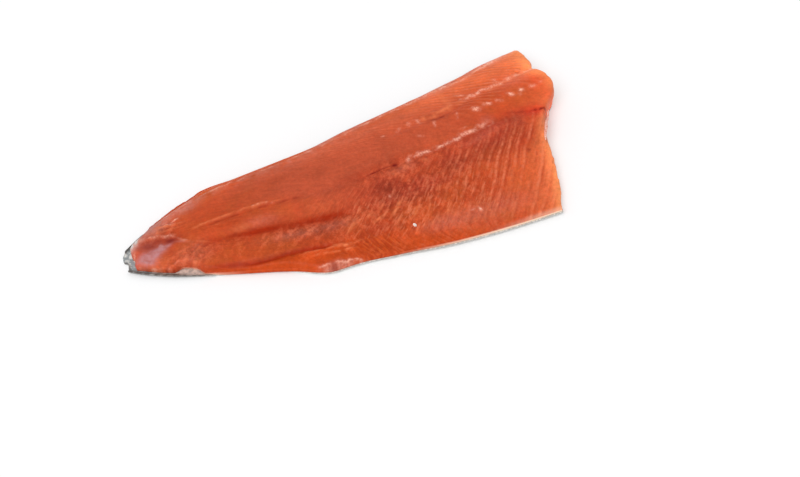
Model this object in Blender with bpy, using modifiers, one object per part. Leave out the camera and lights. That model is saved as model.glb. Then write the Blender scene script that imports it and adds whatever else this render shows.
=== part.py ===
"""A raw fillet of salmon trout lying on its skin, cut off square behind the head and pointed at the tail.

Metres, +Z up. The tail points to -X, the head cut to +X, the back edge is on +Y and the belly edge on -Y.
The fillet has two layers: the skin that it lies on, curled up a little along both long edges, and the
flesh on it, thick at the loin and thin at the belly. Both are lofts on one lattice of stations (tail to
head) and rows (belly to back), because no two sections of a fillet are alike.
"""
import bmesh
import bpy
import numpy as np

MM = 0.001

# The skin's edges seen from above, in millimetres
BELLY_EDGE = [(-151, -1.5), (-146, -5.7), (-140, -10), (-130, -16.3), (-114, -24.5), (-96, -32.5),
              (-65, -46.5), (-41, -60), (-26, -61.5), (0, -67.5), (35, -76), (75, -82), (106, -85)]
BACK_EDGE = [(-147.5, 15.5), (-143.5, 17.8), (-138, 21), (-126, 26.2), (-104, 34.5), (-84, 39.2),
             (-66, 38.2), (-20, 38.5), (30, 43.6), (70, 47.5), (106, 52), (137, 58), (169, 60.5)]
HEAD_EDGE = [(106, -85), (117.5, -65.5), (126.5, -47), (133.5, -30), (142, -15), (152.8, -4), (162.2, 4),
             (166.2, 15), (163.6, 29), (166.8, 42), (169, 60.5)]
TAIL_EDGE = [(-151, -1.5), (-150, 2), (-149.3, 5), (-151.2, 8), (-150.8, 11.5), (-147.5, 15.5)]

# Thickness of the layers
SKIN = 0.8
GAP = 0.3
FLESH_RIM = 1.3          # height of the flesh's upright rim over the curled skin

# Radius of the skin's curl, from the tail to the head
BELLY_CURL = [(0.0, 2.8), (0.25, 2.1), (0.45, 2.2), (0.7, 3.2), (1.0, 3.4)]
BACK_CURL = [(0.0, 2.6), (0.15, 4.5), (0.5, 7.5), (1.0, 8.5)]

# How far the flesh stays inside the skin's edges
FLESH_FROM_TAIL = 5.5
FLESH_FROM_HEAD = 0.8
BARE_FLAP = [(0.0, 2.4), (0.09, 2.4), (0.115, 5.8), (0.14, 4.8), (0.16, 0.8), (0.25, 0.0)]
TAIL_RIM = [(0.0, 2.4), (0.03, 1.8), (0.06, 0.0)]

# Height of the flesh's upper face: a row for each station, a column for each share of the width
ACROSS = [0.0, 0.15, 0.35, 0.5, 0.6, 0.7, 0.85, 1.0]
ALONG = [0.0, 0.12, 0.3, 0.5, 0.75, 1.0]
HEIGHTS = [
    [4.5, 6.0, 7.0, 7.5, 7.5, 7.5, 6.5, 5.5],
    [5.5, 7.5, 9.0, 9.8, 9.6, 9.8, 9.0, 7.5],
    [6.0, 9.0, 10.5, 12.5, 12.5, 14.0, 14.0, 11.0],
    [5.2, 7.2, 10.0, 14.2, 14.8, 17.3, 17.5, 13.5],
    [5.6, 7.0, 9.8, 15.0, 16.2, 20.3, 19.5, 14.5],
    [6.0, 7.5, 10.2, 15.4, 17.4, 20.3, 18.4, 14.0],
]
BACK_SHOULDER = 8.0      # the upper face rounds down to the back edge over this width
BELLY_SHOULDER = 3.0
HEAD_SHOULDER = 4.5
HEAD_CUT_RISE = 0.55     # share of the height that the upright head cut keeps under its rounded edge
TAIL_SHOULDER = 4.0

# Valleys in the upper face: points along it, half width and depth
SPINE_VALLEY = ([(-128, 8), (-98, 5), (-60, 0), (-20, -5), (28, -8), (72, -6.5), (103, -5), (146, -9)],
                3.0, 0.9)
LOIN_CREASE = ([(33, 14), (62, 14.5), (80, 14), (105, 19), (135, 22.5), (158, 28.5), (170, 30)], 2.2, 0.8)
CREASE_MOUTH = ([(138, 25.5), (152, 27.5), (176, 29)], 3.4, 2.2)
BELLY_GROOVE = ([(-104, -25), (-92, -31), (-80, -34.8), (-70, -36.8), (-50, -41.2), (-30, -45)], 2.0, 1.5)
FLANK_DIP = ([(-104, -4), (-80, -11), (-60, -16), (-36, -22), (-8, -27)], 5.0, 0.9)
TAIL_DIP = ([(-142, 7), (-130, 6), (-114, 4)], 3.5, 1.2)
VALLEYS = [SPINE_VALLEY, LOIN_CREASE, CREASE_MOUTH, BELLY_GROOVE, FLANK_DIP, TAIL_DIP]
RUN_OUT = 9.0            # length over which a valley or a swelling begins and ends

# Swellings in the upper face, in the same form
VENT_TISSUE = ([(-45, -52.5), (-36, -54.5), (-27, -55.5)], 3.0, 1.6)
FLANK_ROLL = ([(-100, 18), (-60, 16), (-30, 12)], 12.0, 0.6)
SWELLINGS = [VENT_TISSUE, FLANK_ROLL]

# The sheets between the muscle flakes reach the upper face as low ridges in a zigzag
FLAKE_LENGTH = 7.4
FLAKE_HEIGHT = 0.28
FLAKE_SINK = 0.4         # share of that height by which the flesh between the ridges lies lower
FLAKE_SLANT = [(0.0, -46.0), (0.12, -57.0), (0.35, -30.0), (0.56, -2.0), (0.62, -2.0), (0.8, -30.0),
               (1.0, -62.0)]
FLAKES_FADE = [(-40, 0.0), (20, 0.55), (70, 1.0), (170, 1.0)]
FLAKES_ACROSS = [(0.0, 0.3), (0.15, 1.0), (0.42, 1.0), (0.58, 0.15), (0.76, 0.15), (0.84, 0.6), (1.0, 0.5)]

# Slow unevenness of the cut face: wavelength and height of each wave
UNEVEN = [(61.0, 0.30), (37.0, 0.22), (23.0, 0.16)]
UNEVEN_SEED = 12

# The lattices
FLESH_STATIONS = (30, 78, 4)      # tail half, head half, head shoulder
FLESH_ROWS = (4, 20, 5)           # belly curl, middle, back curl
SKIN_STATIONS = (22, 30, 2)
SKIN_ROWS = (4, 12, 5)
HALFWAY = 0.42
SKIN_LAST_STATIONS = 0.01

FLAT_WITHIN = 1e-6       # how far from level the points of a flat face may lie

FLESH_COLOUR = (0.56, 0.105, 0.045, 1.0)
FLESH_ROUGHNESS = 0.25
SKIN_COLOUR = (0.30, 0.32, 0.31, 1.0)
SKIN_ROUGHNESS = 0.35


def smooth(points, at):
    """A curve through points, x rising, that never overshoots them, read at x = at; flat past its ends."""
    x, y = np.array(points, float).T
    step = np.diff(x)
    rise = np.diff(y) / step
    slope = np.zeros(len(x))
    for k in range(1, len(x) - 1):
        if rise[k - 1] * rise[k] > 0:
            near, far = step[k] * 2 + step[k - 1], step[k] + step[k - 1] * 2
            slope[k] = (near + far) / (near / rise[k - 1] + far / rise[k])
    slope[0], slope[-1] = rise[0], rise[-1]
    at = np.clip(at, x[0], x[-1])
    k = np.clip(np.searchsorted(x, at, side="right") - 1, 0, len(step) - 1)
    t = (at - x[k]) / step[k]
    value = y[k] * (1 + 2 * t) * (1 - t) ** 2 + y[k + 1] * t * t * (3 - 2 * t)
    return value + step[k] * t * (1 - t) * (slope[k] * (1 - t) - slope[k + 1] * t)


def turned(points):
    """The same points with x and y exchanged, for an edge that is read by its y."""
    return [(y, x) for x, y in points]


def between(first, last, share):
    return first + (last - first) * share


def plan(u, v):
    """The points at share u of the length and shares v of the width: a patch between the four edges."""
    belly_x = between(BELLY_EDGE[0][0], BELLY_EDGE[-1][0], u)
    back_x = between(BACK_EDGE[0][0], BACK_EDGE[-1][0], u)
    tail_y = between(TAIL_EDGE[0][1], TAIL_EDGE[-1][1], v)
    head_y = between(HEAD_EDGE[0][1], HEAD_EDGE[-1][1], v)
    tail_x = smooth(turned(TAIL_EDGE), tail_y)
    head_x = smooth(turned(HEAD_EDGE), head_y)
    ends = [np.array(edge[end], float) for edge in (BELLY_EDGE, BACK_EDGE) for end in (0, -1)]
    corners = [between(between(ends[0][k], ends[1][k], u), between(ends[2][k], ends[3][k], u), v)
               for k in (0, 1)]
    x = between(belly_x, back_x, v) + between(tail_x, head_x, u) - corners[0]
    y = between(smooth(BELLY_EDGE, belly_x), smooth(BACK_EDGE, back_x), v)
    return x, y + between(tail_y, head_y, u) - corners[1]


def width(u):
    x, y = plan(u, np.array([0.0, 1.0]))
    return np.hypot(x[1] - x[0], y[1] - y[0])


def length(v):
    tail_x, tail_y = plan(0.0, v)
    head_x, head_y = plan(1.0, v)
    return np.hypot(head_x - tail_x, head_y - tail_y)


def curled(distance, radius, lift):
    """Height of the curled skin's inner face, lift above its outer face, at distances from its edge."""
    depth = (radius - lift) ** 2 - np.clip(radius - distance, 0.0, radius - lift) ** 2
    return radius - np.sqrt(depth)


def underside(u, v, lift):
    wide = width(u)
    belly = curled(v * wide, smooth(BELLY_CURL, u), lift)
    back = curled((1 - v) * wide, smooth(BACK_CURL, u), lift)
    return np.maximum(belly, back)


def curl_rows(radius, lift, inset, count):
    """Distances from an edge, from inset to the curl's foot, evenly spread round the curl."""
    if inset >= radius - lift:
        return np.linspace(inset, inset + radius, count + 1)
    start = np.arcsin(min((radius - inset) / (radius - lift), 1.0))
    return radius - (radius - lift) * np.sin(np.linspace(start, 0.0, count + 1))


def row_shares(u, lift, belly_inset, back_inset, counts):
    """The shares of the width at which a station has its points, from the belly to the back."""
    wide = width(u)
    belly = curl_rows(smooth(BELLY_CURL, u), lift, belly_inset, counts[0]) / wide
    back = 1 - curl_rows(smooth(BACK_CURL, u), lift, back_inset, counts[2])[::-1] / wide
    middle = np.linspace(belly[-1], back[0], counts[1] + 1)
    return np.concatenate([belly, middle[1:-1], back])


def station_shares(first, last, shoulder_share, counts):
    """The shares of the length at which the stations stand, denser toward the head."""
    foot = last - shoulder_share
    tail_half = np.linspace(first, HALFWAY, counts[0] + 1)
    head_half = np.linspace(HALFWAY, foot, counts[1] + 1)
    rounding = foot + shoulder_share * np.sin(np.linspace(0, np.pi / 2, counts[2] + 1))
    return np.concatenate([tail_half, head_half[1:], rounding[1:]])


def felt(x, y, line):
    """The height of a valley or a swelling at each point, fading across it and at its two ends."""
    points, half_width, height = line
    ends = np.clip((x - points[0][0]) / RUN_OUT, 0, 1) * np.clip((points[-1][0] - x) / RUN_OUT, 0, 1)
    return height * ends * np.exp(-((y - smooth(points, x)) / half_width) ** 2)


def flakes(x, v):
    """Height of the low ridges between the muscle flakes."""
    strength = smooth(FLAKES_FADE, x) * smooth(FLAKES_ACROSS, v)
    phase = (x - smooth(FLAKE_SLANT, v)) / FLAKE_LENGTH
    return FLAKE_HEIGHT * strength * (np.cos(np.pi * phase) ** 4 - FLAKE_SINK)


def unevenness(x, y):
    draw = np.random.default_rng(UNEVEN_SEED)
    total = np.zeros_like(x)
    for wavelength, height in UNEVEN:
        heading, shift = draw.uniform(0, 2 * np.pi, 2)
        along = x * np.cos(heading) + y * np.sin(heading)
        total += height * np.sin(2 * np.pi * along / wavelength + shift)
    return total


def shoulder(distance, reach):
    """From 0 at an edge to 1 at reach inside it, as a quarter circle."""
    return np.sqrt(1 - (1 - np.clip(distance / reach, 0, 1)) ** 2)


def upper_face(u, v, belly_inset, back_inset):
    """Heights of the flesh's upper face across one station."""
    x, y = plan(u, v)
    section = [smooth(list(zip(ALONG, column)), u) for column in zip(*HEIGHTS)]
    full = smooth(list(zip(ACROSS, section)), v) + flakes(x, v) + unevenness(x, y)
    full += sum(felt(x, y, line) for line in SWELLINGS) - sum(felt(x, y, line) for line in VALLEYS)
    rim = underside(u, v, SKIN + GAP) + FLESH_RIM
    wide = width(u)
    rounding = shoulder(v * wide - belly_inset, BELLY_SHOULDER)
    rounding *= shoulder((1 - v) * wide - back_inset, BACK_SHOULDER)
    rounding *= between(HEAD_CUT_RISE, 1.0, shoulder((1 - u) * length(v) - FLESH_FROM_HEAD, HEAD_SHOULDER))
    rounding *= shoulder(u * length(v) - FLESH_FROM_TAIL, TAIL_SHOULDER)
    return rim + np.maximum(full - rim, 0.0) * rounding


def new_object(name, mesh_data, collection, colour, roughness):
    mesh = bpy.data.meshes.new(name)
    mesh_data.to_mesh(mesh)
    mesh_data.free()
    piece = bpy.data.objects.new(name, mesh)
    collection.objects.link(piece)
    material = bpy.data.materials.new(name)
    material.use_nodes = True
    shader = material.node_tree.nodes["Principled BSDF"]
    shader.inputs["Base Color"].default_value = colour
    shader.inputs["Roughness"].default_value = roughness
    shader.inputs["Metallic"].default_value = 0.0
    mesh.materials.append(material)
    mesh.shade_smooth()
    return piece


def lattice(stations, rows):
    """A flat grid, and for each of its points the station and the row that it belongs to."""
    grid = bmesh.new()
    bmesh.ops.create_grid(grid, x_segments=stations, y_segments=rows, size=0.5)
    places = {}
    for point in grid.verts:
        places[point] = (round((point.co.x + 0.5) * stations), round((point.co.y + 0.5) * rows))
    return grid, places


def join_flat(mesh_data, height):
    """Makes one face of all the faces that lie flat at this height."""
    flat = [face for face in mesh_data.faces
            if all(abs(p.co.z - height) < FLAT_WITHIN * MM for p in face.verts)]
    bmesh.ops.dissolve_faces(mesh_data, faces=flat, use_verts=False)


def make_skin(collection):
    sheet, places = lattice(sum(SKIN_STATIONS), sum(SKIN_ROWS))
    outer = []
    for u in station_shares(0.0, 1.0, SKIN_LAST_STATIONS, SKIN_STATIONS):
        v = row_shares(u, 0.0, 0.0, 0.0, SKIN_ROWS)
        outer.append(np.stack([*plan(u, v), underside(u, v, 0.0)], axis=1) * MM)
    for point, (i, j) in places.items():
        point.co = outer[i][j]
    join_flat(sheet, 0.0)
    bmesh.ops.recalc_face_normals(sheet, faces=sheet.faces[:])
    lowest = max(sheet.faces, key=lambda face: face.calc_area())
    if lowest.normal.z > 0:
        bmesh.ops.reverse_faces(sheet, faces=sheet.faces[:])
    skin = new_object("skin", sheet, collection, SKIN_COLOUR, SKIN_ROUGHNESS)
    thicken = skin.modifiers.new("thickness", "SOLIDIFY")
    thicken.thickness = SKIN * MM
    thicken.offset = -1.0
    thicken.use_even_offset = True
    return skin


def make_flesh(collection):
    lift = SKIN + GAP
    long = length(0.5)
    first, last = FLESH_FROM_TAIL / long, 1 - FLESH_FROM_HEAD / long
    faces = {"lower": [], "upper": []}
    for u in station_shares(first, last, HEAD_SHOULDER / long, FLESH_STATIONS):
        belly_inset = lift + smooth(BARE_FLAP, u)
        back_inset = lift + smooth(TAIL_RIM, u)
        v = row_shares(u, lift, belly_inset, back_inset, FLESH_ROWS)
        x, y = plan(u, v)
        faces["lower"].append(np.stack([x, y, underside(u, v, lift)], axis=1) * MM)
        faces["upper"].append(np.stack([x, y, upper_face(u, v, belly_inset, back_inset)], axis=1) * MM)
    solid, places = lattice(sum(FLESH_STATIONS), sum(FLESH_ROWS))
    raised = bmesh.ops.extrude_face_region(solid, geom=solid.faces[:], use_keep_orig=True)
    upper = [item for item in raised["geom"] if isinstance(item, bmesh.types.BMVert)]
    by_place = {(round(p.co.x, 6), round(p.co.y, 6)): place for p, place in places.items()}
    for point in upper:
        i, j = by_place[round(point.co.x, 6), round(point.co.y, 6)]
        point.co = faces["upper"][i][j]
    for point, (i, j) in places.items():
        point.co = faces["lower"][i][j]
    bmesh.ops.recalc_face_normals(solid, faces=solid.faces[:])
    join_flat(solid, lift * MM)
    return new_object("flesh", solid, collection, FLESH_COLOUR, FLESH_ROUGHNESS)


def stand_on_origin(pieces):
    """Moves the meshes together so that the middle of their common box's underside is the origin."""
    bpy.context.view_layer.update()
    corners = np.array([piece.matrix_world @ p.co for piece in pieces for p in piece.data.vertices])
    low, high = corners.min(axis=0), corners.max(axis=0)
    for piece in pieces:
        for point in piece.data.vertices:
            point.co.x -= (low[0] + high[0]) / 2
            point.co.y -= (low[1] + high[1]) / 2
            point.co.z -= low[2]


def main():
    for item in list(bpy.data.objects):
        bpy.data.objects.remove(item, do_unlink=True)
    collection = bpy.data.collections.new("trout fillet")
    bpy.context.scene.collection.children.link(collection)
    pieces = [make_skin(collection), make_flesh(collection)]
    stand_on_origin(pieces)


main()
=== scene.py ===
import functools
import math

import bmesh
import bpy
import numpy as np
from mathutils import Matrix, Vector


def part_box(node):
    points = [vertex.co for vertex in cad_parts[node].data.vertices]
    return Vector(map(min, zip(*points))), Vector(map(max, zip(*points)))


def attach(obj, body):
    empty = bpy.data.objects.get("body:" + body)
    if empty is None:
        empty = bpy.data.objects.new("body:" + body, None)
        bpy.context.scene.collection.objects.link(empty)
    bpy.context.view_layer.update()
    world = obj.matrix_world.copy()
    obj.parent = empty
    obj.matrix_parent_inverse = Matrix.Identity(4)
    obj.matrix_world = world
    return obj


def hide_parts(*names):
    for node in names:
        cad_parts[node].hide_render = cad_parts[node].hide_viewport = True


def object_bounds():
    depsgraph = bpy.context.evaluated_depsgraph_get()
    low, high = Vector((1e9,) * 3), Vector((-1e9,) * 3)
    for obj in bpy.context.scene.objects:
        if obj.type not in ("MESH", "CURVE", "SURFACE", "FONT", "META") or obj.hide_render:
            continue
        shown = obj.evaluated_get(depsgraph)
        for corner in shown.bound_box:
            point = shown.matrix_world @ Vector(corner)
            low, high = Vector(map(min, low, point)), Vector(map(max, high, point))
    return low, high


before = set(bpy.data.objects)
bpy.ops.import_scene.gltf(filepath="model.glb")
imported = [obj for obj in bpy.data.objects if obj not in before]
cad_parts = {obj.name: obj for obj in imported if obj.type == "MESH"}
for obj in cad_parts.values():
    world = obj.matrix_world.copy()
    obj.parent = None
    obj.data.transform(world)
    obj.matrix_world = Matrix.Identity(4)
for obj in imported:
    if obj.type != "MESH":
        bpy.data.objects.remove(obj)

CAD_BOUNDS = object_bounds()
MM = 0.001

# The skin's edges seen from above, as in the solids
BELLY_EDGE = [(-151, -1.5), (-146, -5.7), (-140, -10), (-130, -16.3), (-114, -24.5), (-96, -32.5),
              (-65, -46.5), (-41, -60), (-26, -61.5), (0, -67.5), (35, -76), (75, -82), (106, -85)]
BACK_EDGE = [(-147.5, 15.5), (-143.5, 17.8), (-138, 21), (-126, 26.2), (-104, 34.5), (-84, 39.2),
             (-66, 38.2), (-20, 38.5), (30, 43.6), (70, 47.5), (106, 52), (137, 58), (169, 60.5)]
HEAD_EDGE = [(106, -85), (117.5, -65.5), (126.5, -47), (133.5, -30), (142, -15), (152.8, -4), (162.2, 4),
             (166.2, 15), (163.6, 29), (166.8, 42), (169, 60.5)]
TAIL_EDGE = [(-151, -1.5), (-150, 2), (-149.3, 5), (-151.2, 8), (-150.8, 11.5), (-147.5, 15.5)]

# The layers, and how the skin curls up along its long edges: radius by share of the length
SKIN = 0.8
FLESH_LIFT = 0.85
FLESH_RIM = 1.3
BELLY_CURL = [(0, 2.8), (0.25, 2.1), (0.45, 2.2), (0.7, 3.2), (1, 3.4)]
BACK_CURL = [(0, 2.6), (0.15, 4.5), (0.5, 7.5), (1, 8.5)]
# How far up its curl the skin reaches in degrees, where the flesh is round, and how much it hangs over
BELLY_SKIN_TOP = [(0, 90), (0.15, 88), (0.2, 28), (0.33, 28), (0.37, 70), (0.45, 78), (1, 84)]
BELLY_SWELL = [(0, 0), (0.15, 0), (0.2, 1)]
BELLY_COVER = [(0.15, 0.3), (0.2, 0.9), (0.33, 0.9), (0.4, 0.4), (1, 0.3)]
BACK_SKIN_TOP = [(0, 90), (0.04, 84), (0.065, 40), (0.12, 40), (0.3, 70), (0.5, 84), (1, 88)]
BACK_SWELL = [(0, 0), (0.04, 0), (0.065, 1), (1, 1)]
BACK_COVER = [(0, 0.1), (0.04, 0.1), (0.065, 0.9), (0.15, 0.9), (0.35, 0.4), (1, 0.3)]
# The cream-white fat that shows on the flesh's belly side
EDGE_FAT = [(0.1, 0), (0.125, 0.5), (0.17, 0.45), (0.21, 0.25), (0.26, 0), (0.55, 0), (0.62, 0.15),
            (0.7, 0.6), (0.82, 1)]
# How far the flesh keeps from the skin's edges
INSET = 1.1
FLESH_FROM_TAIL = 5.5
FLESH_FROM_HEAD = 0.8
TIP_TONGUE = 1.8
BARE_FLAP = [(0, 2.4), (0.09, 2.4), (0.115, 5.8), (0.14, 4.8), (0.16, 0.8), (0.25, 0)]
TAIL_RIM = [(0, 2.4), (0.03, 1.8), (0.06, 0)]

# Height of the cut face, by share of the width (columns) and of the length (rows)
ACROSS = [0, 0.15, 0.35, 0.5, 0.6, 0.7, 0.85, 1]
ALONG = [0, 0.12, 0.3, 0.5, 0.75, 1]
HEIGHTS = [
    [4.5, 6, 7, 7.5, 7.5, 7.5, 6.5, 5.5],
    [5.5, 7.5, 9, 9.8, 9.6, 9.8, 9, 7.5],
    [6, 9, 10.5, 12.5, 12.5, 14, 14, 11],
    [5.2, 7.2, 10, 14.2, 14.8, 17.3, 17.5, 13.5],
    [5.6, 7, 9.8, 15, 16.2, 20.3, 19.5, 14.5],
    [6, 7.5, 10.2, 15.4, 17.4, 20.3, 18.4, 14],
]
BACK_SHOULDER = 8.0
BELLY_SHOULDER = 3.0
HEAD_SHOULDER = 4.5
HEAD_CUT_RISE = 0.55
TAIL_SHOULDER = 4.0
UNEVEN = [(61, 0.3), (37, 0.22), (23, 0.16)]
UNEVEN_SEED = 12

# Valleys and swellings of the cut face: points along each, its half width and its height
FORMS = [
    ([(-128, 8), (-98, 5), (-60, 0), (-20, -5), (28, -8), (72, -6.5), (103, -5), (146, -9)], 3, -0.9),
    ([(33, 14), (62, 14.5), (80, 14), (105, 19), (135, 22.5), (158, 28.5), (170, 30)], 2.2, -0.8),
    ([(138, 25.5), (152, 27.5), (176, 29)], 3.4, -2.2),
    ([(-104, -25), (-92, -31), (-80, -34.8), (-70, -36.8), (-60, -38.8), (-50, -41.2), (-30, -45)], 2, -1.5),
    ([(-104, -4), (-80, -11), (-60, -16), (-36, -22), (-8, -27)], 5, -0.9),
    ([(-142, 7), (-130, 6), (-114, 4)], 3.5, -1.2),
    ([(-45, -52.5), (-36, -54.5), (-27, -55.5)], 3, 1.4),
    ([(-100, 18), (-60, 16), (-30, 12)], 12, 0.6),
]
FORM_RUN_OUT = 9.0

# Lines on the cut face, by layer of colour: points, half width, height, and strength of the colour.
# Pale is fat, strand light orange torn muscle, blood and shadow dark blood and painted shadow, film and sheen
# pinkish grey membrane and a painted sheen along the back's rim.
LINES = {"pale": [
    ([(35, -8.4), (45, -7.2), (60, -7.3), (75, -6.4), (90, -5.2), (106, -4.2)], 1.6, 0.5, 0.62),
    ([(92, 18.6), (104, 20.8), (120, 22.2), (132, 23.4), (140, 25.4), (150, 26.7), (164, 27.4)],
     1.5, 0.35, 0.42),
    ([(100, 20), (112, 21.6), (128, 22.8), (142, 25.8), (162, 27.2)], 1, 0.1, 0.3),
    ([(26, 32.2), (40, 34.4), (60, 36.4), (80, 38.6), (95, 39.2), (110, 41), (120, 44.6), (130, 47.3),
      (146, 50)], 1.3, 0.2, 0.5),
    ([(-122, 18.8), (-117, 18.2), (-110, 18.2)], 0.6, 0.4, 0.8),
    ([(-127, 15.6), (-121, 16.6), (-114, 15.6)], 0.6, 0.4, 0.4),
    ([(-126, 9.6), (-120, 8.4), (-113, 7.7)], 0.6, 0.3, 0.2),
    ([(-142.5, 10.6), (-138, 12.5), (-132, 12.3), (-127, 10.6)], 0.9, 0.5, 0.3),
    ([(-132, 12), (-124, 9.4), (-118, 6.4), (-114, 1), (-109, -4), (-104, -9)], 1.1, 0.4, 0.2),
    ([(-145, -3.2), (-138, -7.6), (-132, -11), (-127, -13.4)], 0.7, 0.2, 0.45),
    ([(-50, -54.6), (-38, -57), (-28, -59.2), (-19, -61.4)], 0.6, 0.4, 0.55),
    ([(-120, 25.5), (-110, 28), (-96, 29), (-60, 28.2), (-40, 27.2), (-25, 28.2), (-8, 29), (10, 30.6),
      (30, 33.4)], 0.9, 0.15, 0.35),
], "strand": [
    ([(-108, 6.4), (-96, 6.2), (-84, 5.3), (-70, 4.3), (-60, 3.3), (-48, 0.2)], 0.9, 0.35, 0.45),
    ([(-54, -42), (-42, -44.8), (-34, -46.4), (-23, -50.2)], 0.9, 0.5, 0.8),
    ([(-50, -46.2), (-40, -48.6), (-31, -50.8), (-20, -52.6)], 0.8, 0.5, 0.65),
    ([(-36, -43.6), (-29, -46.6), (-22, -48.4), (-14, -49)], 0.7, 0.4, 0.5),
    ([(60, 15.2), (68, 16.4), (76, 16.2), (86, 17.6)], 2.2, 0.6, 0.6),
], "blood and shadow": [
    ([(5, -7.4), (18, -7.1), (28, -7.8)], 0.55, -0.6, 0.75),
    ([(112, -0.5), (124, -3.6), (134, -7), (146, -9.6)], 0.8, -0.2, 0.5),
    # Painted shadow below the ridge along the spine in the tail half
    ([(-98, 4.4), (-80, 3.1), (-70, 2.2), (-60, 1.2), (-48, -0.9), (-34, -3)], 0.9, -0.3, 0.42),
    # Painted shadow under a small shelf of flesh
    ([(66, 12.4), (74, 12), (82, 12.6)], 1.1, -0.3, 0.45),
    ([(-114, -8), (-100, -9.5), (-84, -9.5), (-70, -12.4)], 1.1, -0.15, 0.3),
    ([(85, 41), (97, 41.9), (107, 43)], 0.6, -0.1, 0.45),
    ([(138, 28.3), (150, 28.6), (162, 28.4)], 0.4, -0.2, 0.35),
], "film and sheen": [
    ([(-120, 25), (-110, 27), (-96, 27.8), (-60, 27), (-40, 26), (-25, 27), (-8, 28), (10, 30), (30, 33)],
     3.2, 0.1, 0.25),
    # Painted sheen: the pinkish rim along the back edge, standing for a reflection
    ([(-20, 32.6), (4, 35.4), (24, 38.4), (50, 41.6), (70, 44), (92, 46), (110, 49)], 4, 0, 0.95),
]}
LINE_RUN_OUT = 3.5
LINE_STRAYS = {"pale": 1, "strand": 0.6, "blood and shadow": 0, "film and sheen": 0}
# Dark red valleys, the groove along the belly and the band above it, darker partly by their own colour and
# partly as painted shade in their dips: points, half width, strength
DARK_LINES = [
    ([(-112, -22.6), (-98, -27.6), (-88, -31.8), (-80, -34.8), (-60, -38.4), (-50, -40.8), (-40, -43.2),
      (-25, -45.5)], 1.7, 1.3),
    ([(-118, -4), (-90, -9.5), (-80, -11.7), (-70, -14), (-60, -16.8), (-50, -19.6), (-40, -21.8),
      (-20, -25.6), (-2, -28)], 3.4, 0.5),
    ([(-92, -9), (-80, -12.4), (-60, -17.4), (-50, -20.4), (-40, -23), (-20, -26.4), (-10, -27.6)], 3, 0.75),
]
DARK_RUN_OUT = 18.0

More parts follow.
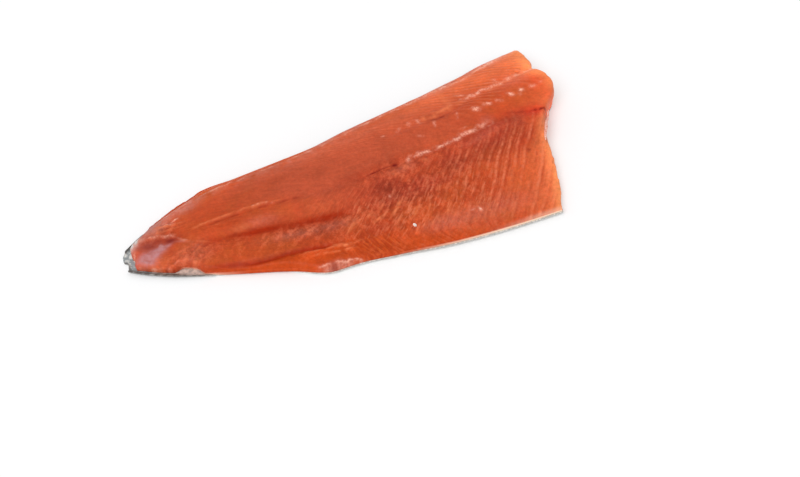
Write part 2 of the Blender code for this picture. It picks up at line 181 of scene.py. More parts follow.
# Spots by layer: middle, two half lengths, lean in degrees, strength, and height where it isn't 0.
# Ash is greyish white tissue, lilac silver film, maroon dark muscle beside it, red fresh muscle.
SPOTS = {"pale": [
    (67.5, 9, 1, 1.9, -25, 0.5, 0.2), (84.5, 8.2, 0.9, 1.9, -25, 0.5, 0.2),
    (99.8, 8, 2.6, 1.2, -14, 1.5, 0.4), (96.8, 9.8, 1.3, 0.5, 0, 0.7, 0.1), (109, 9, 2.6, 1.1, -8, 0.9, 0.3),
    (118, 8.6, 2.4, 1.3, -14, 0.55, 0.3), (128.5, 10, 2.3, 1.2, -22, 1, 0.3),
    (137.5, 10.4, 2, 1.2, -14, 0.9, 0.3), (147, 10.2, 2.4, 1.2, -12, 0.7, 0.3),
    (135.5, 7.4, 1.5, 1.1, -20, 0.4, 0.2), (154, 10.6, 1.9, 1, 0, 0.3, 0.2),
    (126.5, 28.2, 1.9, 1.1, 0, 0.45, 0.2), (127, 25.6, 1.6, 0.7, -20, 0.35, 0.1),
    (135.5, 23.6, 2, 1.5, 0, 0.5, 0.2), (97.5, 24.6, 4.4, 0.8, -32, 0.4, 0.2),
    (32, 15, 1.4, 0.8, 0, 0.45, 0.15), (43.5, 15.5, 2.4, 0.9, 30, 0.3, 0.15),
    (52, 16.6, 1.4, 1.8, 0, 0.3, 0.15), (58.5, 15.8, 1.3, 2.4, 25, 0.45, 0.2),
    (54, 5, 2.6, 0.7, -20, 0.25, 0.1), (56, -59.6, 2, 0.8, -12, 0.35, 0.2),
    (59.6, -61, 0.9, 1.9, 15, 0.9, 0.3), (13.6, -27.5, 0.7, 1.4, -20, 0.3, 0.3),
    (-66, 4.2, 0.9, 0.6, 0, 0.25, 0.3), (-63, 4.1, 1, 0.7, 0, 0.3, 0.35), (-60, 3.6, 0.9, 0.6, 0, 0.28, 0.3),
    (-57.4, 3, 0.9, 0.6, 0, 0.25, 0.25), (-54, 1.4, 0.9, 0.5, 0, 0.2, 0.2),
    (-127.4, 3.6, 0.8, 1.6, -15, 0.4, 0.2), (-144.6, 5.6, 1.3, 1.1, 0, 0.9, 0.3),
    (-113.5, -23, 1, 2.2, 30, 0.9, 0.4), (84, -0.8, 2.4, 0.6, 0, 0.3, 0.1), (92, 44.8, 14, 2.6, 8, 0.85),
    (145, 53.6, 18, 3.2, 9, 0.5), (91, 39.4, 8, 1.4, 4, 0.3, 0.2), (134, 48.2, 9, 1.6, 14, 0.3, 0.2),
    (40, 39.6, 26, 2.6, 5, 0.26), (84, 47.5, 16, 2, 8, 0.3), (145, 50.5, 12, 2.5, 10, 0.25),
    (-129, -13.6, 1.3, 0.9, 0, 0.4, 0.2), (-123, -12, 1.5, 0.8, 20, 0.3, 0.2),
], "strand": [
    (85.5, 27, 2.2, 7.5, -4, 0.4, 0.15), (86, 19, 1.8, 4, -25, 0.5, 0.2), (93, 18.6, 3, 1.6, 0, 0.5, 0.2),
    (69.5, 14.4, 3, 1, -10, 0.5, 0.2), (12.5, -38.2, 5.2, 0.9, 33, 0.9, 0.4),
    (16.4, -34.4, 2.4, 0.8, 33, 0.7, 0.3), (0, -39.6, 5.6, 0.9, 16, 0.7, 0.35),
    (-5, -35.5, 3.2, 0.8, 24, 0.5, 0.3), (10, -46.5, 5, 0.8, 38, 0.6, 0.25),
    (22, -45.8, 4.5, 0.9, 44, 0.6, 0.25), (32.5, -45, 4.2, 0.9, 50, 0.5, 0.25),
    (-19, -38.5, 5, 0.9, 34, 0.5, 0.3), (5, -33, 3, 0.7, 40, 0.5, 0.25), (41, -53, 4, 0.9, 52, 0.4, 0.2),
    (-92, 1.8, 2.4, 0.4, -10, 0.3, 0.1), (-80, -7.5, 6, 2.2, -10, 0.35, 0.1),
    (-117, -13, 2.2, 1.2, 0, 0.4, 0.4), (-112.5, -16.5, 2.2, 1.8, 30, 0.5, 0.5),
    (24.5, -14, 2, 3, 0, 0.3, 0.2), (33, -12, 3, 2, 20, 0.3, 0.2), (47, -13.4, 2.2, 1.2, -35, 0.5, 0.3),
    (-121, 16.4, 5.5, 0.8, -20, 0.6, 0.45), (-118, 12.4, 5, 0.8, -8, 0.5, 0.4),
    (-126.4, 13, 0.9, 2.6, -24, 0.4, 0.35), (-112, 14.6, 4, 0.7, -10, 0.35, 0.3),
    (-104, -5.5, 5, 0.7, -28, 0.35, 0.3), (-108, -9, 4, 0.7, 24, 0.35, 0.3), (158, 22, 5, 3.2, -40, 0.55),
    (148, 24.5, 9, 1.6, 10, 0.4), (128, 22, 12, 2.2, 10, 0.3), (160, 57, 8, 3, 4, 0.4),
], "blood and shadow": [
    (28, -8, 1.6, 1, 0, 1.3, -0.4), (82, -9.2, 1.6, 1.8, 20, 0.4), (137.6, -7.4, 1.6, 0.8, -30, 1.1, -0.3),
    (141, -8.8, 1.5, 0.9, 10, 1.1, -0.3), (144, -9.4, 1, 1, 0, 1, -0.3), (114.4, -34, 1.4, 1.5, 0, 0.7, -0.2),
    (15, -55, 0.9, 1.1, 10, 0.6, -0.25), (60, -57.6, 3, 0.8, -30, 0.2, -0.1),
    (-130, -12.4, 1.5, 0.7, 40, 0.8, -0.2), (-139, -8.4, 1, 0.7, 0, 0.5, -0.2),
    (-126, -15, 0.9, 1.2, 20, 0.7, -0.3), (-114.6, -20.6, 0.9, 1.4, 20, 0.7, -0.3),
    (74, 11.6, 4.5, 1.2, 0, 0.25, -0.2), (119, 50.2, 9, 2.8, 16, 0.26), (84, 11, 5, 1, 10, 0.15),
    (94, -47, 1.4, 1.4, 30, 0.3, -0.2),
], "film and sheen": [
    (-130.5, 19.6, 9, 4.2, 27, 0.95), (-135, 7, 7, 3.5, -14, 0.35), (-138, 14.5, 3.2, 3, 20, 0.6),
    (-103, 26.5, 9, 3.6, 14, 0.45), (-119, 22.4, 8, 4.4, 22, 0.5), (-127, 15, 6, 4, 10, 0.3),
    (-112, -11, 12, 8, 0, 0.2), (-52, -27.4, 18, 3.6, -13, 0.24), (-26, -32, 12, 4, -10, 0.2),
    (32, -13, 9, 3, 0, 0.16), (92, -12, 14, 3, 8, 0.12), (66, -64, 30, 8, -7, 0.2), (2, 24, 70, 4, 3, 0.12),
    # Of these spots, those along the back edge from x 80 to 150 are painted sheen on its rim
    (92, 46, 20, 4, 8, 0.4), (138, 20, 16, 5, 8, 0.16), (88, 37.5, 14, 3.5, 5, 0.3),
    (122, 47, 16, 4, 14, 0.25), (146, 50, 14, 4, 10, 0.35), (32, -60, 16, 5, -10, 0.22),
    (102, -1, 5, 3, 0, 0.22), (-66, -9, 10, 4, -12, 0.22), (-102, 23, 7, 3, 10, 0.25),
    (136.8, -18.4, 4, 1.6, 45, 0.6),
], "ash": [
    (-143, 15.4, 3, 5, -12, 1.3), (-139.6, 16.6, 1.2, 4, -12, 1.1), (-44.6, -60, 2.6, 1.4, -14, 0.5),
], "lilac": [
    (-137.5, -0.6, 6.2, 3.6, -10, 1.3), (-130.5, 1, 6.4, 2.8, 8, 1.1), (-124, 1.6, 4, 1.3, 10, 0.6),
    (-116, 0.6, 4, 0.8, -30, 0.3, 0.1), (-137, -4.6, 3.6, 1.8, -30, 0.5),
    (-127.6, 3.6, 1.2, 2, -15, 0.7, 0.1), (-131, 23.5, 8, 2.6, 26, 0.7),
], "maroon": [
    (-134.6, 7, 6.8, 3.4, -16, 0.75), (-121, 4.6, 4, 2.5, -24, 1), (-128, 8, 3.4, 1.8, -16, 0.4),
    (-130, 20.4, 9.5, 4, 26, 0.3),
], "orange": [
    (-144.6, 0.6, 1.6, 4.2, 0, 1), (-105, 21, 12, 5, 14, 0.1), (26, -73, 16, 4, -12, 0.5),
    (150, 37, 9, 5, 10, 0.35),
], "red": [
    (140, -11, 12, 6, -22, 0.9), (128, -6, 22, 3, -14, 0.4), (156, -1, 8, 5, 40, 0.8),
    (152, 14, 9, 7, 0, 0.35), (118, -24, 14, 6, 30, 0.5),
], "valley": [(-3, -46, 8, 4, -10, 0.35)], "deep": [(-4, -46, 13, 5, -10, 0.5)],
    "warm and lit": [(-130, -7, 8, 3.5, -24, 0.45)], "dull": [(-15, -12, 34, 14, -8, 0.8)],
}
# Where the flesh is brighter or darker over a broad patch: middle, half lengths, lean, share
BRIGHTER = [
    (142, 25, 24, 12, 0, 0.24), (80, 28, 14, 8, 0, 0.1), (-50, 11, 46, 9, -4, -0.15),
    (20, 3, 52, 7, 0, -0.08), (112, -24, 22, 7, 20, -0.18), (-52, -26, 22, 7, -14, -0.12),
    (0, -34, 60, 7, -6, -0.08), (-18, -58, 24, 9, -16, -0.16), (14, -72, 20, 8, -12, -0.14),
    (-96, 33, 12, 7, 10, -0.12), (-66, 36, 14, 5, 0, -0.12), (-60, -42, 30, 5, -20, -0.1),
    (90, -13, 26, 5, 6, 0.12), (-36, 36, 12, 5, 0, 0.18), (-66, 36, 10, 4, 0, -0.08),
    (-42, -48, 13, 4, -16, 0.22), (119, -28, 14, 9, 30, -0.12), (60, -74, 16, 6, -8, 0.1),
    (151, 13, 10, 8, 0, 0.14), (148, -2, 10, 5, -10, 0.1), (14, -24, 8, 7, 20, -0.26),
    (2, -30, 5, 8, 0, 0.08), (-126, -8, 8, 6, 0, -0.15), (12, -48, 9, 5, 0, -0.14),
    (62, -24, 14, 5, 0, -0.12), (126, -22, 8, 6, 0, -0.12), (72, -12, 14, 4, 6, 0.07),
    (-60, -35, 10, 4, -14, -0.1), (84, -25, 22, 6, 4, -0.1), (26, -30, 12, 7, 0, -0.08),
    (-22, -10, 14, 6, -10, -0.05),
]
# Where the torn flesh near the tail lies in folds, and where the cavity's lining is darkest, likewise
CRUMPLED = [(-112, -11, 11, 6.5, 0, 1.3), (-118, -14, 7, 3, -20, 1), (-118, 14.5, 9, 6, 0, 1.2),
            (-130, 9, 7, 4, -10, 0.6)]
RUFFLED = (-112, -11, 13, 8, 0)
LINING_PATCHES = [(18, -23, 12, 9, 20, 0.9), (46, -28, 18, 8, 10, 0.6), (100, -13, 28, 9, 8, 0.8)]
LINING_EDGE = [(-90, -16), (-50, -26), (0, -34), (40, -37), (70, -30), (100, -24), (128, -15)]
WRINKLES_ACROSS = [(0, 0.3), (0.12, 0.7), (0.3, 1), (0.5, 0.9), (0.58, 0.25), (0.7, 0.12), (1, 0.1)]
WRINKLES_ALONG = [(-120, 0.3), (-80, 0.5), (-50, 0.8), (25, 0.9), (60, 0.7), (95, 0.3), (150, 0.15)]
# The vent, with upright streaks of pink and maroon, and the curled flakes beside it
VENT = (-36.5, -59.8, 9.5, 2.5, -14)
VENT_DARK = (-36.5, -59.8, 9, 2.4, -14)
CURLED_FLAKES = (-12, -57, 15, 7, -17)

# Seams between the flakes. The slant is how far a seam lies towards the head, by share of the width. Near
# the belly edge it hooks back, within a width and by a length that depend on x. The count numbers them.
SEAM_SLANT = [(0, -76), (0.13, -58), (0.35, -31), (0.56, -7), (0.63, -8), (0.8, -48), (1, -102)]
HOOK_WIDTH = [(-60, 0.24), (-10, 0.19), (40, 0.12), (75, 0.1)]
HOOK_LENGTH = [(-60, 40), (0, 34), (45, 18), (75, 0)]
SEAM_COUNT = [(-170, -56.7), (80, 0), (110, 4.3), (260, 25)]
BELLY_SEAMS = [(-60, 0), (-25, 0.2), (0, 0.3), (40, 0.4), (70, 0.8), (85, 1), (170, 1)]
BACK_SEAMS = [(-60, 0), (0, 0.2), (70, 0.4), (95, 0.9), (150, 1.1)]
SEAMS_ACROSS = [(0, 0.9), (0.1, 0.6), (0.2, 0.85), (0.42, 0.9), (0.53, 0.3), (0.6, 0)]
BACK_SEAMS_ACROSS = [(0.62, 0), (0.7, 0.5), (0.8, 1), (0.9, 1), (1, 0.6)]
SEAM_HEIGHT = 0.32
SEAM_SINK = 0.3
# The fine relief lies this much lower than it is drawn, so that its tops stay within the solids
RELIEF_SINK = 0.16

# Lattices of the two layers: stations along, rows in the belly curl, the middle and the back curl
FLESH_STATIONS = 400
FLESH_ROWS = (6, 160, 10)
HEAD_ROWS = 8
SIDE_LEVELS = 14
SKIN_STATIONS = 300
SKIN_ROWS = (8, 90, 10)

# A strip of torn membrane along the top of the head cut, and a crumb of fat on the belly wall
STRIP_PLACES = [(147.2, -9.6), (143.7, -13.8), (139.7, -18.2), (136, -22.5), (132.6, -26.8), (129.6, -31.6)]
STRIP_HALF_SIZE = (1.1, 0.45)
STRIP_SINKS = 0.3
STRIP_STATIONS = 24
STRIP_SIDES = 10
CRUMB_PLACE = (16.7, -54.3)
CRUMB_HALF_SIZE = (0.85, 0.85, 1.9)
CRUMB_LEAN = -34
CRUMB_SEED = 5

# Colours as they show on a screen, by the layers of the flesh and the parts of the skin
TINTS = {
    "flesh": (184, 70, 33), "dull": (184, 79, 50), "warm and lit": (228, 110, 64), "orange": (192, 68, 18),
    "red": (206, 56, 30), "brown": (182, 82, 34), "painted glow": (248, 146, 88), "valley": (158, 40, 6),
    "flank": (204, 80, 16), "lining": (170, 65, 40), "lining in shade": (161, 56, 33),
    "pale seam and highlight": (230, 128, 92), "seam and stroke shade": (152, 42, 20), "curl lit side": (216, 94, 40),
    "curl shaded side": (162, 50, 14), "strand": (228, 122, 78), "fat": (250, 184, 160), "edge fat": (240, 208, 184),
    "blood and shadow": (120, 20, 12), "film and sheen": (202, 133, 118), "ash": (206, 202, 198), "lilac": (184, 128, 130),
    "lilac pink": (170, 102, 96), "maroon": (126, 38, 32), "skin belly": (214, 208, 200),
    "skin side": (170, 172, 170), "skin back": (66, 74, 70), "skin inside": (206, 186, 174),
    "skin inside grey": (164, 150, 142), "skin dark": (80, 70, 64), "skin tip": (138, 144, 146),
    "skin tip white": (216, 215, 210), "skin spot": (26, 28, 28), "skin blush": (200, 150, 148),
    "white": (252, 250, 246), "cream": (236, 226, 218), "rose": (234, 188, 174),
    "dusky rose": (206, 130, 112),
}
# How often a material's grain repeats in a metre of height
GRAIN_RISE = 400

FLOOR_COLOUR = (0.88, 0.88, 0.885, 1)
WORLD_LIGHT = 0.62
KEY_LIGHT = 2.1
KEY_FROM = (-0.62, -0.42, 1)
KEY_SPREAD = 0.9

# The camera that took the photograph, in the form's own millimetres, and its lens
CAMERA_PLACE = (-162.6, -340, 386.5)
CAMERA_RIGHT = (0.89317, -0.44853, -0.03252)
CAMERA_UP = (0.35917, 0.66797, 0.65178)
CAMERA_LENS = 37.07
CAMERA_SHIFT_X = 0.0715


def srgb(tint):
    """A named colour as the linear values that a shader takes."""
    shares = [channel / 255 for channel in TINTS[tint]]
    return tuple(c / 12.92 if c < 0.04045 else ((c + 0.055) / 1.055) ** 2.4 for c in shares) + (1,)


def smooth(points, at):
    """A curve through points that never overshoots them, read at x = at; flat beyond its ends."""
    x, y = np.array(points, float).T
    step = np.diff(x)
    rise = np.diff(y) / step
    slope = np.zeros(len(x))
    for k in range(1, len(x) - 1):
        if rise[k - 1] * rise[k] > 0:
            near, far = step[k] * 2 + step[k - 1], step[k] + step[k - 1] * 2
            slope[k] = (near + far) / (near / rise[k - 1] + far / rise[k])
    slope[0], slope[-1] = rise[0], rise[-1]
    at = np.clip(at, x[0], x[-1])
    k = np.clip(np.searchsorted(x, at, side="right") - 1, 0, len(step) - 1)
    t = (at - x[k]) / step[k]
    value = y[k] * (1 + 2 * t) * (1 - t) ** 2 + y[k + 1] * t * t * (3 - 2 * t)
    return value + step[k] * t * (1 - t) * (slope[k] * (1 - t) - slope[k + 1] * t)


def between(first, last, share):
    return first + (last - first) * share


def fade(value, start, end):
    """From 0 at start to 1 at end, without a corner at either."""
    t = np.clip((value - start) / (end - start), 0, 1)
    return t * t * (3 - 2 * t)


def within(value, start, full, fall, end):
    """From 0 at start to 1 at full, and from 1 at fall back to 0 at end."""
    return fade(value, start, full) * fade(value, end, fall)


def across_plan(edge, v):
    """x on the tail's or the head's edge, at shares v of the width."""
    return smooth([(y, x) for x, y in edge], between(edge[0][1], edge[-1][1], v))


def along_plan(edge, u):
    """y on the belly's or the back's edge, at share u of the length."""
    return smooth(edge, between(edge[0][0], edge[-1][0], u))


def plan(u, v):
    """The points at share u of the length and shares v of the width, between the four edges."""
    x = between(across_plan(TAIL_EDGE, v), across_plan(HEAD_EDGE, v), u)
    return x, between(along_plan(BELLY_EDGE, u), along_plan(BACK_EDGE, u), v)


def width(u):
    x, y = plan(u, np.array([0.0, 1.0]))
    return np.hypot(x[1] - x[0], y[1] - y[0])


def widths(stations):
    return np.array([width(u) for u in stations])[:, None]


def length(v):
    tail_x, tail_y = plan(0.0, v)
    head_x, head_y = plan(1.0, v)
    return np.hypot(head_x - tail_x, head_y - tail_y)


def bell(distance, reach):
    """From 1 at no distance to almost 0 at twice the reach."""
    return np.exp(-(distance / reach) ** 2)


def felt(x, y, points, half_width, run_out):
    """From 1 on a line to 0 beside it, fading at the line's two ends."""
    ends = np.clip((x - points[0][0]) / run_out, 0, 1) * np.clip((points[-1][0] - x) / run_out, 0, 1)
    return ends * bell(y - smooth(points, x), half_width)


def turned(x, y, lean):
    """Distances along and across a direction that leans by so many degrees."""
    cos, sin = math.cos(math.radians(lean)), math.sin(math.radians(lean))
    return x * cos + y * sin, y * cos - x * sin


def spot(x, y, middle_x, middle_y, half_length, half_width, lean):
    """From 1 at the middle of an oval to 0 outside it."""
    along, across = turned(x - middle_x, y - middle_y, lean)
    return bell(along, half_length) * bell(across, half_width)


def spots(x, y, ovals):
    """Several ovals together, each by its strength."""
    return sum(oval[5] * spot(x, y, *oval[:5]) for oval in ovals)


@functools.cache
def noise_table(seed):
    return np.random.default_rng(seed).uniform(-1, 1, (256, 256))


def noise(x, y, size, seed, lean=17, stretch=1):
    """Smooth random values from -1 to 1 that change over about this size, drawn out along the lean."""
    along, across = turned(x, y, lean)
    along, across = along / (size * stretch) + 1000, across / size + 1000
    i, j = np.floor(along).astype(int), np.floor(across).astype(int)
    corners = [[noise_table(seed)[(i + a) % 256, (j + b) % 256] for a in (0, 1)] for b in (0, 1)]
    low, high = [between(*pair, fade(along - i, 0, 1)) for pair in corners]
    return between(low, high, fade(across - j, 0, 1))


def unevenness(x, y):
    draw = np.random.default_rng(UNEVEN_SEED)
    total = 0
    for wavelength, height in UNEVEN:
        heading, shift = draw.uniform(0, 2 * np.pi, 2)
        along = x * np.cos(heading) + y * np.sin(heading)
        total = total + height * np.sin(2 * np.pi * along / wavelength + shift)
    return total


def shoulder(distance, reach):
    """From 0 at an edge to 1 at reach inside it, as a quarter circle."""
    return np.sqrt(1 - (1 - np.clip(distance / reach, 0, 1)) ** 2)


def seam_number(x, y, v):
    drift = 1.3 * noise(x, y, 24, 31) + 0.7 * noise(x, y, 9, 32) + 0.35 * noise(x, y, 4, 33)
    hook = smooth(HOOK_LENGTH, x) * np.clip(1 - v / smooth(HOOK_WIDTH, x), 0, 1) ** 1.6
    return smooth(SEAM_COUNT, x - smooth(SEAM_SLANT, v) - hook + drift)


def seam_strength(x, y, v):
    whole = smooth(BELLY_SEAMS, x) * smooth(SEAMS_ACROSS, v)
    whole += smooth(BACK_SEAMS, x) * smooth(BACK_SEAMS_ACROSS, v)
    broken = 0.72 + 0.75 * noise(x, y, 3.6, 34, 46, 2.4) + 0.45 * noise(seam_number(x, y, v), 0, 1, 35, 0)
    return whole * np.clip(broken, 0.05, 1.35)


def lining(x, y, v):
    """Where the dark red lining of the belly cavity still covers the flesh."""
    inside = fade(y - smooth(LINING_EDGE, x), -9, 6) * fade(v, 0.6, 0.545) * within(x, -35, 8, 124, 142)
    return inside * np.clip(0.62 + spots(x, y, LINING_PATCHES), 0, 1.3)


def wrinkled(x, y, v):
    """Where the lining lies in fine wrinkles."""
    above_band = fade(y - smooth(DARK_LINES[1][0], x), -2, 4)
    belly = between(1 - 0.85 * above_band, 1, fade(x, -8, 22))
    return smooth(WRINKLES_ACROSS, v) * smooth(WRINKLES_ALONG, x) * belly


def crumpled(x, y):
    return np.clip(spots(x, y, CRUMPLED), 0, 1)


def crest(x, y):
    """From -1 in the valleys of the wrinkles to 1 on their tops."""
    folds = 0.9 * noise(x, y, 1.9, 41, 46, 1.5) + 0.6 * noise(x, y, 3.4, 42, 50, 1.7)
    return np.clip(1.7 * folds, -1, 1)


def drawn_lines(x, y):
    """Each line's layer, height and strength, its share at the points, and how it breaks up into lumps."""
    strays = 0.7 * noise(x, 0, 3.6, 55, 0) + 0.4 * noise(x, 0, 1.9, 56, 0)
    for layer, lines in LINES.items():
        for k, (points, half_width, height, strength) in enumerate(lines):
            beads = np.clip(0.7 + 0.9 * noise(x, y, 2.4, 60 + k, 0, 1.3), 0.05, 1.3)
            share = felt(x, y + LINE_STRAYS[layer] * strays, points, half_width, LINE_RUN_OUT)
            yield layer, height, strength, share, beads


def fine_relief(x, y, v):
    """Ridges between the flakes, seams, slits, bone ends, wrinkles and small bumps, in millimetres."""
    number = seam_number(x, y, v)
    ridge = np.maximum(np.cos(np.pi * number) ** 6, 0.45 * (number % 1)) - SEAM_SINK
    total = SEAM_HEIGHT * seam_strength(x, y, v) * ridge
    total += (0.17 * wrinkled(x, y, v) + 0.2 * crumpled(x, y)) * crest(x, y)
    total += 0.06 * noise(x, y, 3, 43, -12, 4) + 0.12 * noise(x, y, 7, 44) + 0.04 * noise(x, y, 2.2, 45)
    total += 0.3 * spot(x, y, *RUFFLED) * (1 - 2 * np.abs(noise(x, y, 3.4, 46)))
    for layer, height, _, share, beads in drawn_lines(x, y):
        total += height * share * (beads if layer == "pale" else 1)
    for oval in sum(SPOTS.values(), []):
        if len(oval) > 6:
            total += oval[6] * spot(x, y, *oval[:5])
    return total - RELIEF_SINK


def rim_height(u, v):
    """Height of the flesh's edge: the curled skin's inner face, and the rim above it."""
    return skin_height(u, v * width(u), INSET) + FLESH_RIM


def flesh_height(u, v, belly_inset, back_inset):
    x, y = plan(u, v)
    section = [smooth(list(zip(ALONG, column)), u) for column in zip(*HEIGHTS)]
    full = smooth(list(zip(ACROSS, section)), v) + unevenness(x, y) + fine_relief(x, y, v)
    for points, half_width, height in FORMS:
        full += height * felt(x, y, points, half_width, FORM_RUN_OUT)
    rim = rim_height(u, v)
    wide = width(u)
    rounding = shoulder(v * wide - belly_inset, BELLY_SHOULDER)
    rounding *= shoulder((1 - v) * wide - back_inset, BACK_SHOULDER)
    rounding *= between(HEAD_CUT_RISE, 1, shoulder((1 - u) * length(v) - FLESH_FROM_HEAD, HEAD_SHOULDER))
    rounding *= shoulder(u * length(v) - FLESH_FROM_TAIL, TAIL_SHOULDER)
    return rim + np.maximum(full - rim, 0) * rounding


def flesh_insets(u):
    return INSET + smooth(BARE_FLAP, u), INSET + smooth(TAIL_RIM, u)


def flesh_values(x, y, u, v):
    """The shares of colour at the points of the cut face, mostly from 0 to 1, and the lay of its fibres."""
    layers = {name: 0 * x for name in SPOTS}
    for name, _, strength, share, beads in drawn_lines(x, y):
        layers[name] += strength * beads * share
    broken = np.clip(0.75 + 0.8 * noise(x, y, 1.9, 80), 0.1, 1.3)
    for name, ovals in SPOTS.items():
        layers[name] += spots(x, y, ovals) * (broken if name in ("pale", "blood and shadow") else 1)
    uneven = 0.85 + 0.3 * noise(x, y, 4, 84, -14, 3)
    for points, half_width, strength in DARK_LINES:
        layers["valley"] += strength * uneven * felt(x, y, points, half_width, DARK_RUN_OUT)
    vent = np.clip(2 * spot(x, y, *VENT), 0, 1)
    streak = 0.5 + 1.1 * noise(x, y, 0.85, 83, 72, 5)
    layers["pale"] += 0.2 * vent * np.clip(streak, 0, 1)
    layers["maroon"] += 0.55 * spot(x, y, *VENT_DARK) * np.clip(1.1 - streak, 0, 1)
    layers["film and sheen"] += 0.35 * vent
    below_groove = within(x, -112, -95, -40, -12) * fade(y - smooth(DARK_LINES[0][0], x), 1, -1)
    low_fan = 0.9 * fade(v, 0.24, 0.06) * within(x, -50, -25, 24, 60)
    layers["orange"] += (below_groove + low_fan) * (1 - vent)
    layers["deep"] += lining(x, y, v) * (0.85 + 0.35 * noise(x, y, 7, 81))
    from_head = np.clip((1 - u) * length(0.5), 0, None)
    back = fade(v, 0.72, 0.88) * smooth([(-60, 0.1), (30, 0.3), (90, 0.75), (160, 1)], x)
    low_belly = fade(x, 70, 140) * fade(v, 0.5, 0.25)
    # Lighter warm orange: painted light on the back strip and near the head end, and the belly flap's own
    # warmer tone
    layers["warm and lit"] += 0.8 * np.exp(-from_head / 14) + 0.8 * back + 0.45 * low_belly
    # Painted glow: the thin flesh at the head cut is painted lighter, as if lit through, with less of it
    # about y = -5
    reach = 6.5 + 5 * fade(v, 0.66, 0.76)
    layers["painted glow"] = bell(from_head, reach) * (1 - 0.75 * bell(y + 5, 13))
    loin = within(v, 0.5, 0.62, 0.78, 0.92) * smooth([(-90, 0.2), (-20, 1), (70, 0.8), (115, 0.1)], x)
    layers["dull"] += loin
    layers["curls"] = 1.6 * spot(x, y, *CURLED_FLAKES) * (1 - vent)
    values = {name: np.clip(layer, 0, 1) for name, layer in layers.items()}
    folded = np.clip(wrinkled(x, y, v) + crumpled(x, y), 0, 1) * (1 - 0.8 * values["valley"])
    folded += 0.6 * spot(x, y, -50, -27, 32, 6.5, -13) * (1 - 0.6 * values["valley"])
    values.update({
        "wrinkled": folded, "crest": crest(x, y), "bright": 1 + spots(x, y, BRIGHTER),
        "strokes": within(x, -40, -12, 62, 100) * within(v, 0.05, 0.14, 0.3, 0.46),
        "flank": within(x, -102, -90, -24, -4) * fade(y - smooth(BACK_EDGE, x), -9.5, -7.5),
        "fan": fade(v, 0.6, 0.5) * fade(x, -70, -20),
        "fat": 0.4 * fade(v, 0.027, 0.004) * fade(x, 50, 95),
        "seam": seam_number(x, y, v), "seamed": seam_strength(x, y, v),
        "run": u * length(0.5), "cross": (v - 0.5) * 110})
    return values


def cut(values, place):
    return {name: value[place] for name, value in values.items()}


class Shell:
    """Grids of points that share their borders, with a few named values at each point."""

    def __init__(self):
        self.points, self.values, self.faces = [], [], []

    def add_points(self, points, values):
        """Gives the numbers of the new points, in the shape of their grid."""
        shape = points.shape[:-1]
        start = sum(len(part) for part in self.points)
        self.points.append(points.reshape(-1, 3))
        self.values.append({name: np.broadcast_to(value, shape).ravel() for name, value in values.items()})
        return start + np.arange(len(self.points[-1])).reshape(shape)

    def add_grid(self, points, values):
        index = self.add_points(points, values)
        quads = np.stack([index[:-1, :-1], index[1:, :-1], index[1:, 1:], index[:-1, 1:]], axis=-1)
        self.faces.extend(quads.reshape(-1, 4).tolist())

    def add_face(self, points, values):
        self.faces.append(self.add_points(points, values).tolist())

    def build(self, name, offset, sharp_angle):
        mesh = bpy.data.meshes.new(name)
        mesh.from_pydata((np.concatenate(self.points) * MM + offset).tolist(), [], self.faces)
        for value in self.values[0]:
            numbers = np.concatenate([part[value] for part in self.values]).astype(np.float32)
            mesh.attributes.new(value, "FLOAT", "POINT").data.foreach_set("value", numbers)
        work = bmesh.new()
        work.from_mesh(mesh)
        bmesh.ops.remove_doubles(work, verts=work.verts[:], dist=MM * 1e-3)
        bmesh.ops.recalc_face_normals(work, faces=work.faces[:])
        work.to_mesh(mesh)
        work.free()
        mesh.shade_smooth()
        mesh.set_sharp_from_angle(angle=math.radians(sharp_angle))
        return add_object(name, mesh)


def add_object(name, data):
    piece = bpy.data.objects.new(name, data)
    bpy.context.scene.collection.objects.link(piece)
    return piece


def curl_rows(radius, lift, top, inset, count):
    """Distances from a long edge, from inset or the skin's upper edge to where the skin lies flat."""
    start = max(inset, radius - (radius - lift) * math.sin(math.radians(top)))
    foot = max(radius, start + 1.5)
    return start + (foot - start) * (1 - np.cos(np.linspace(0, np.pi / 2, count + 1)))


def row_distances(u, lift, tops, insets, counts):
    """Where a station has its points, as distances from the belly edge."""
    belly = curl_rows(smooth(BELLY_CURL, u), lift, tops[0], insets[0], counts[0])
    back = width(u) - curl_rows(smooth(BACK_CURL, u), lift, tops[1], insets[1], counts[2])[::-1]
    middle = np.linspace(belly[-1], back[0], counts[1] + 1)
    return np.concatenate([belly, middle[1:-1], back])


def curled(distance, radius, lift):
    """Height of the curled skin's face that lies lift above its outer face."""
    reach = radius - lift
    return radius - np.sqrt(reach ** 2 - np.clip(radius - distance, 0, reach) ** 2)


def skin_height(u, distance, lift):
    belly = curled(distance, smooth(BELLY_CURL, u), lift)
    return np.maximum(belly, curled(width(u) - distance, smooth(BACK_CURL, u), lift))


def skin_tops(u):
    return smooth(BELLY_SKIN_TOP, u), smooth(BACK_SKIN_TOP, u)


def side_profile(radius, top, inset, rim, cover, swell):
    """Distances and heights up the flesh's side: upright with swell 0, round over the skin's edge with 1."""
    reach = radius - FLESH_LIFT
    foot = max(inset, radius - reach * math.sin(math.radians(top)))
    low = curled(foot, radius, FLESH_LIFT)
    level = np.linspace(0, 1, SIDE_LEVELS)
    upright = between(foot, inset, level) - 0.2 * np.sin(np.pi * level), between(low, rim, level)
    out, up = max(radius - inset, 0.15), rim - radius
    last = math.atan2(out, -up)
    first = min(math.radians(top) + 0.1 / radius, last - 0.2)
    share = np.clip((level - level[1]) / (1 - level[1]), 0, 1)
    arm = between(reach + cover * SKIN, math.hypot(out, up), fade(share, 0, 1)) + 0.12 * np.sin(np.pi * share)
    angle = between(first, last, share)
    round_side = radius - arm * np.sin(angle), radius - arm * np.cos(angle)
    round_side[0][0], round_side[1][0] = foot, low
    return [between(a, b, swell) for a, b in zip(upright, round_side)]


